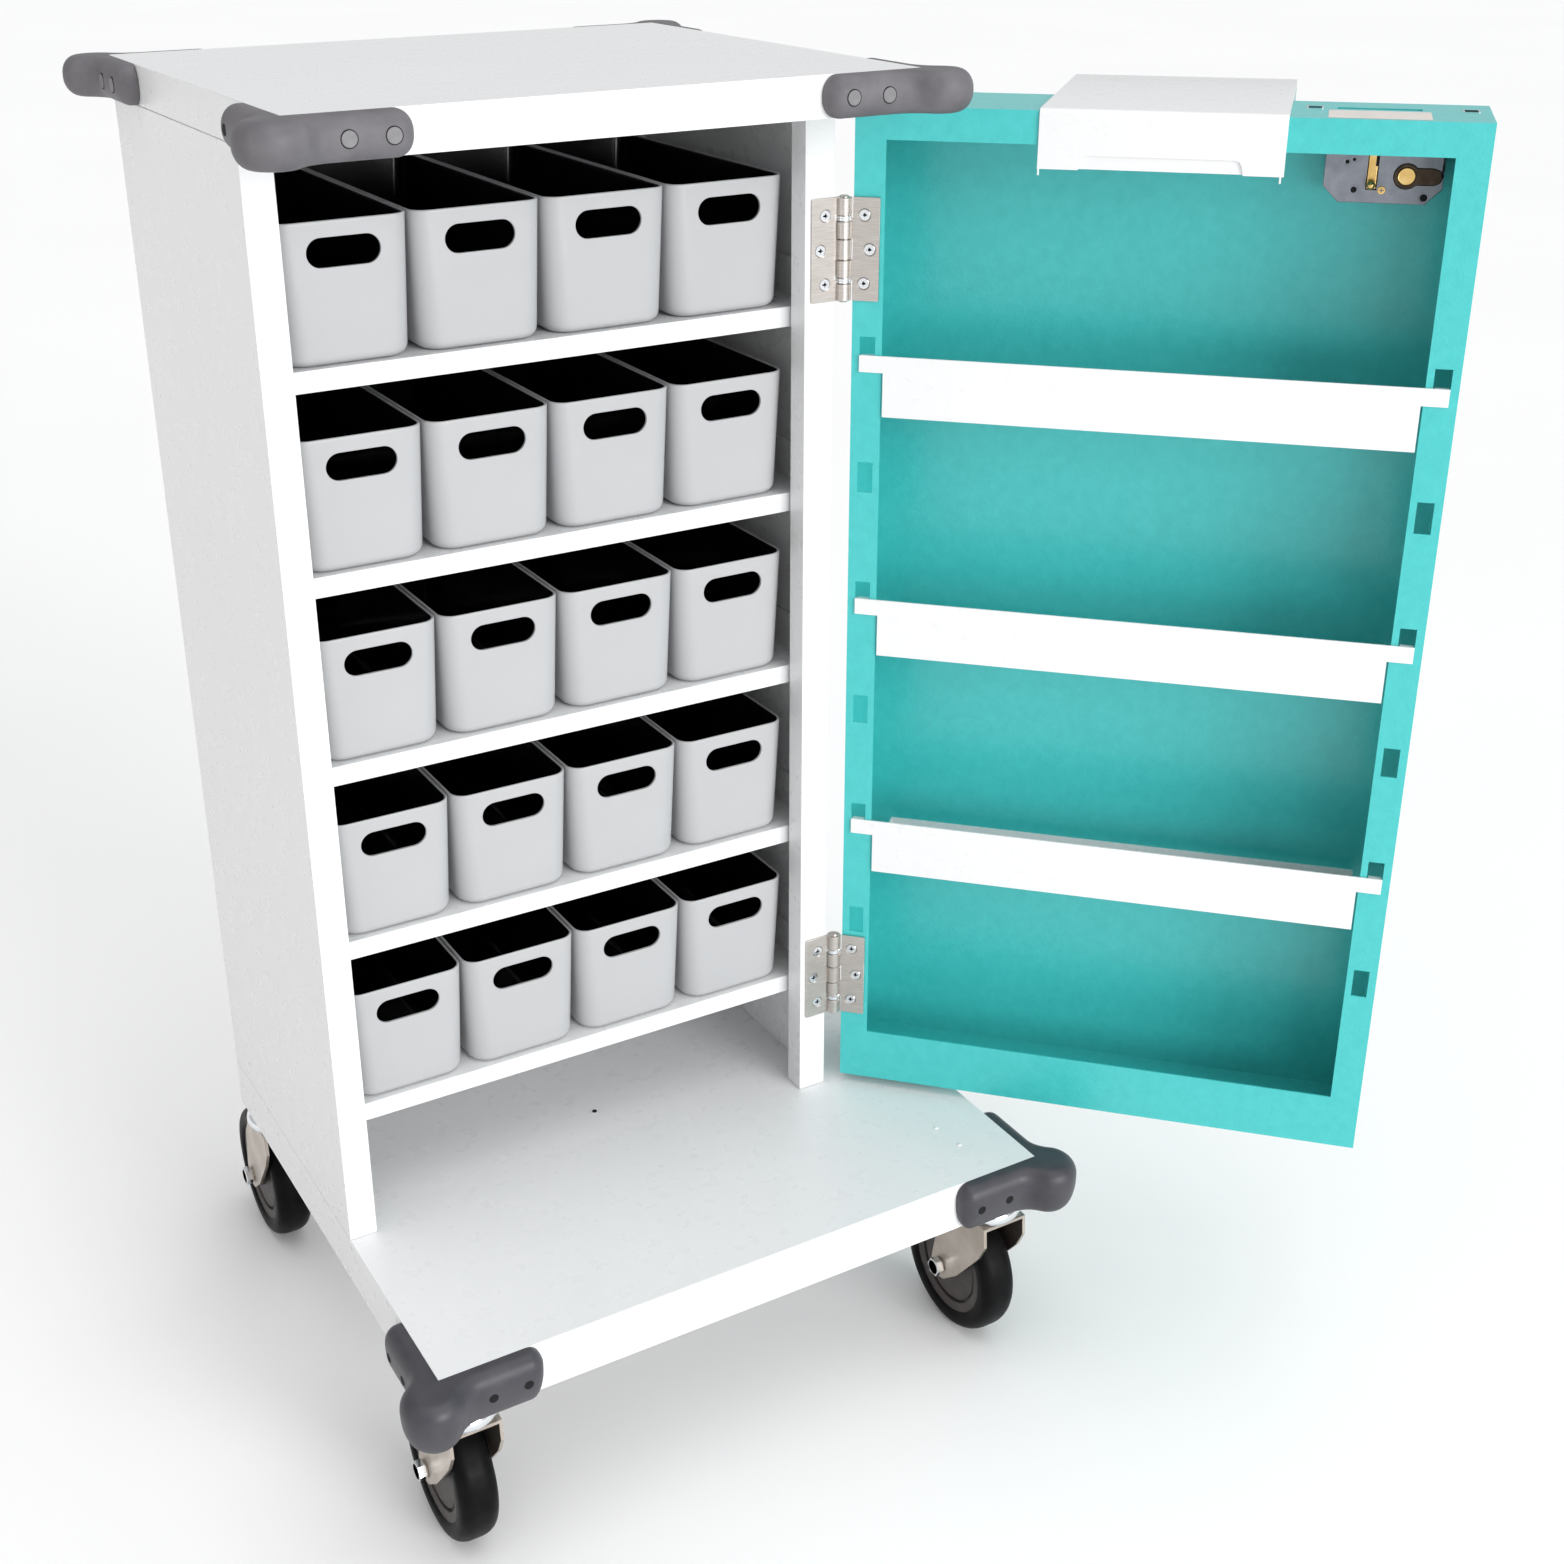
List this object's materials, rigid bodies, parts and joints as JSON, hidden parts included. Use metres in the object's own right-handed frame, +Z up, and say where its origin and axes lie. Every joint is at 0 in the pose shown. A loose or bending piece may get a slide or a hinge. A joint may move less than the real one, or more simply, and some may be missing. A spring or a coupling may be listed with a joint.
{
  "type": "medicine trolley cabinet",
  "caption": "Upright sheet-steel cabinet on castors with lift-out bins on open shelves, a deep hinged door with hook-on trays, and rubber corner bumpers.",
  "frame": {"origin": "on the floor, below the middle of the whole outline with the door open", "axes": "+Z up, -Y the open front of the cabinet, +X to the side that the door hangs on"},
  "size_m": [0.8612, 0.6926, 1.069],
  "materials": {
    "white_paint": "satin powder coat",
    "teal_paint": "orange-peel powder coat",
    "grey_rubber": "satin",
    "bin_plastic": "satin",
    "wheel_rubber": "semi-gloss",
    "zinc_plate": "bright zinc",
    "fork_steel": "zinc plated",
    "hinge_steel": "satin",
    "lock_steel": "dull zinc",
    "brass": "polished",
    "dark_bronze": "dark"
  },
  "bodies": {
    "cabinet": {"base_platform": "white_paint", "carcass": "white_paint", "top_cap": "white_paint", "shelf_1": "white_paint", "shelf_2": "white_paint", "shelf_3": "white_paint", "shelf_4": "white_paint", "shelf_5": "white_paint", "bumper_top_front_left": "grey_rubber", "bumper_top_front_right": "grey_rubber", "bumper_top_back_right": "grey_rubber", "bumper_top_back_left": "grey_rubber", "bumper_base_front_left": "grey_rubber", "bumper_base_front_right": "grey_rubber", "castor_front_left_head": "zinc_plate", "castor_front_right_head": "zinc_plate", "castor_back_left_head": "zinc_plate", "castor_back_right_head": "zinc_plate", "hinge_upper_post_leaf": "hinge_steel", "hinge_lower_post_leaf": "hinge_steel"},
    "bin_1_1": {"bin_1_1": "bin_plastic"},
    "bin_1_2": {"bin_1_2": "bin_plastic"},
    "bin_1_3": {"bin_1_3": "bin_plastic"},
    "bin_1_4": {"bin_1_4": "bin_plastic"},
    "bin_2_1": {"bin_2_1": "bin_plastic"},
    "bin_2_2": {"bin_2_2": "bin_plastic"},
    "bin_2_3": {"bin_2_3": "bin_plastic"},
    "bin_2_4": {"bin_2_4": "bin_plastic"},
    "bin_3_1": {"bin_3_1": "bin_plastic"},
    "bin_3_2": {"bin_3_2": "bin_plastic"},
    "bin_3_3": {"bin_3_3": "bin_plastic"},
    "bin_3_4": {"bin_3_4": "bin_plastic"},
    "bin_4_1": {"bin_4_1": "bin_plastic"},
    "bin_4_2": {"bin_4_2": "bin_plastic"},
    "bin_4_3": {"bin_4_3": "bin_plastic"},
    "bin_4_4": {"bin_4_4": "bin_plastic"},
    "bin_5_1": {"bin_5_1": "bin_plastic"},
    "bin_5_2": {"bin_5_2": "bin_plastic"},
    "bin_5_3": {"bin_5_3": "bin_plastic"},
    "bin_5_4": {"bin_5_4": "bin_plastic"},
    "front_left_fork": {"castor_front_left_fork": "fork_steel"},
    "front_left_wheel": {"castor_front_left_wheel": "wheel_rubber"},
    "front_right_fork": {"castor_front_right_fork": "fork_steel"},
    "front_right_wheel": {"castor_front_right_wheel": "wheel_rubber"},
    "back_left_fork": {"castor_back_left_fork": "fork_steel"},
    "back_left_wheel": {"castor_back_left_wheel": "wheel_rubber"},
    "back_right_fork": {"castor_back_right_fork": "fork_steel"},
    "back_right_wheel": {"castor_back_right_wheel": "wheel_rubber"},
    "door": {"door_pan": "teal_paint", "hinge_upper_door_leaf": "hinge_steel", "hinge_lower_door_leaf": "hinge_steel", "lock_case": "lock_steel", "lock_cylinder": "dark_bronze"},
    "door_tray_1": {"door_tray_1": "white_paint"},
    "door_tray_2": {"door_tray_2": "white_paint"},
    "door_tray_3": {"door_tray_3": "white_paint"},
    "document_holder": {"document_holder": "white_paint"},
    "lock_plug": {"lock_plug": "brass"},
    "lock_bolt": {"lock_bolt": "brass"}
  },
  "joints": [
    {"name": "bin_1_1_slide", "type": "slide", "parent": "cabinet", "child": "bin_1_1", "axis": [0, -1, 0], "range_m": [0, 0.25]},
    {"name": "bin_1_2_slide", "type": "slide", "parent": "cabinet", "child": "bin_1_2", "axis": [0, -1, 0], "range_m": [0, 0.25]},
    {"name": "bin_1_3_slide", "type": "slide", "parent": "cabinet", "child": "bin_1_3", "axis": [0, -1, 0], "range_m": [0, 0.25]},
    {"name": "bin_1_4_slide", "type": "slide", "parent": "cabinet", "child": "bin_1_4", "axis": [0, -1, 0], "range_m": [0, 0.25]},
    {"name": "bin_2_1_slide", "type": "slide", "parent": "cabinet", "child": "bin_2_1", "axis": [0, -1, 0], "range_m": [0, 0.25]},
    {"name": "bin_2_2_slide", "type": "slide", "parent": "cabinet", "child": "bin_2_2", "axis": [0, -1, 0], "range_m": [0, 0.25]},
    {"name": "bin_2_3_slide", "type": "slide", "parent": "cabinet", "child": "bin_2_3", "axis": [0, -1, 0], "range_m": [0, 0.25]},
    {"name": "bin_2_4_slide", "type": "slide", "parent": "cabinet", "child": "bin_2_4", "axis": [0, -1, 0], "range_m": [0, 0.25]},
    {"name": "bin_3_1_slide", "type": "slide", "parent": "cabinet", "child": "bin_3_1", "axis": [0, -1, 0], "range_m": [0, 0.25]},
    {"name": "bin_3_2_slide", "type": "slide", "parent": "cabinet", "child": "bin_3_2", "axis": [0, -1, 0], "range_m": [0, 0.25]},
    {"name": "bin_3_3_slide", "type": "slide", "parent": "cabinet", "child": "bin_3_3", "axis": [0, -1, 0], "range_m": [0, 0.25]},
    {"name": "bin_3_4_slide", "type": "slide", "parent": "cabinet", "child": "bin_3_4", "axis": [0, -1, 0], "range_m": [0, 0.25]},
    {"name": "bin_4_1_slide", "type": "slide", "parent": "cabinet", "child": "bin_4_1", "axis": [0, -1, 0], "range_m": [0, 0.25]},
    {"name": "bin_4_2_slide", "type": "slide", "parent": "cabinet", "child": "bin_4_2", "axis": [0, -1, 0], "range_m": [0, 0.25]},
    {"name": "bin_4_3_slide", "type": "slide", "parent": "cabinet", "child": "bin_4_3", "axis": [0, -1, 0], "range_m": [0, 0.25]},
    {"name": "bin_4_4_slide", "type": "slide", "parent": "cabinet", "child": "bin_4_4", "axis": [0, -1, 0], "range_m": [0, 0.25]},
    {"name": "bin_5_1_slide", "type": "slide", "parent": "cabinet", "child": "bin_5_1", "axis": [0, -1, 0], "range_m": [0, 0.25]},
    {"name": "bin_5_2_slide", "type": "slide", "parent": "cabinet", "child": "bin_5_2", "axis": [0, -1, 0], "range_m": [0, 0.25]},
    {"name": "bin_5_3_slide", "type": "slide", "parent": "cabinet", "child": "bin_5_3", "axis": [0, -1, 0], "range_m": [0, 0.25]},
    {"name": "bin_5_4_slide", "type": "slide", "parent": "cabinet", "child": "bin_5_4", "axis": [0, -1, 0], "range_m": [0, 0.25]},
    {"name": "front_left_swivel", "type": "hinge", "parent": "cabinet", "child": "front_left_fork", "pos_m": [-0.3724, -0.18622, 0.139], "axis": [0, 0, 1], "continuous": true},
    {"name": "front_left_roll", "type": "hinge", "parent": "front_left_fork", "child": "front_left_wheel", "pos_m": [-0.3724, -0.15022, 0.0625], "axis": [1, 0, 0], "continuous": true},
    {"name": "front_right_swivel", "type": "hinge", "parent": "cabinet", "child": "front_right_fork", "pos_m": [0.1106, -0.18622, 0.139], "axis": [0, 0, 1], "continuous": true},
    {"name": "front_right_roll", "type": "hinge", "parent": "front_right_fork", "child": "front_right_wheel", "pos_m": [0.1106, -0.15022, 0.0625], "axis": [1, 0, 0], "continuous": true},
    {"name": "back_left_swivel", "type": "hinge", "parent": "cabinet", "child": "back_left_fork", "pos_m": [-0.3724, 0.24778, 0.139], "axis": [0, 0, 1], "continuous": true},
    {"name": "back_left_roll", "type": "hinge", "parent": "back_left_fork", "child": "back_left_wheel", "pos_m": [-0.3724, 0.28378, 0.0625], "axis": [1, 0, 0], "continuous": true},
    {"name": "back_right_swivel", "type": "hinge", "parent": "cabinet", "child": "back_right_fork", "pos_m": [0.1106, 0.24778, 0.139], "axis": [0, 0, 1], "continuous": true},
    {"name": "back_right_roll", "type": "hinge", "parent": "back_right_fork", "child": "back_right_wheel", "pos_m": [0.1106, 0.28378, 0.0625], "axis": [1, 0, 0], "continuous": true},
    {"name": "door_hinge", "type": "hinge", "parent": "cabinet", "child": "door", "pos_m": [0.0494, -0.03172, 0.6], "axis": [0, 0, 1], "range_deg": [-134.8, 45]},
    {"name": "door_tray_1_lift", "type": "slide", "parent": "door", "child": "door_tray_1", "axis": [0, 0, 1], "range_m": [0, 0.01]},
    {"name": "door_tray_2_lift", "type": "slide", "parent": "door", "child": "door_tray_2", "axis": [0, 0, 1], "range_m": [0, 0.01]},
    {"name": "door_tray_3_lift", "type": "slide", "parent": "door", "child": "door_tray_3", "axis": [0, 0, 1], "range_m": [0, 0.01]},
    {"name": "document_holder_lift", "type": "slide", "parent": "door", "child": "document_holder", "axis": [0, 0, 1], "range_m": [0, 0.04]},
    {"name": "lock_plug_turn", "type": "hinge", "parent": "door", "child": "lock_plug", "pos_m": [0.36981, -0.26923, 0.9898], "axis": [0.7096, 0.7046, 0], "range_deg": [0, 90]},
    {"name": "lock_bolt_slide", "type": "slide", "parent": "door", "child": "lock_bolt", "axis": [0, 0, 1], "range_m": [0, 0.016]}
  ],
  "couplings": [
    {"joint": "lock_plug_turn", "follows": "lock_bolt_slide", "rad_per_m": 98.17}
  ]
}
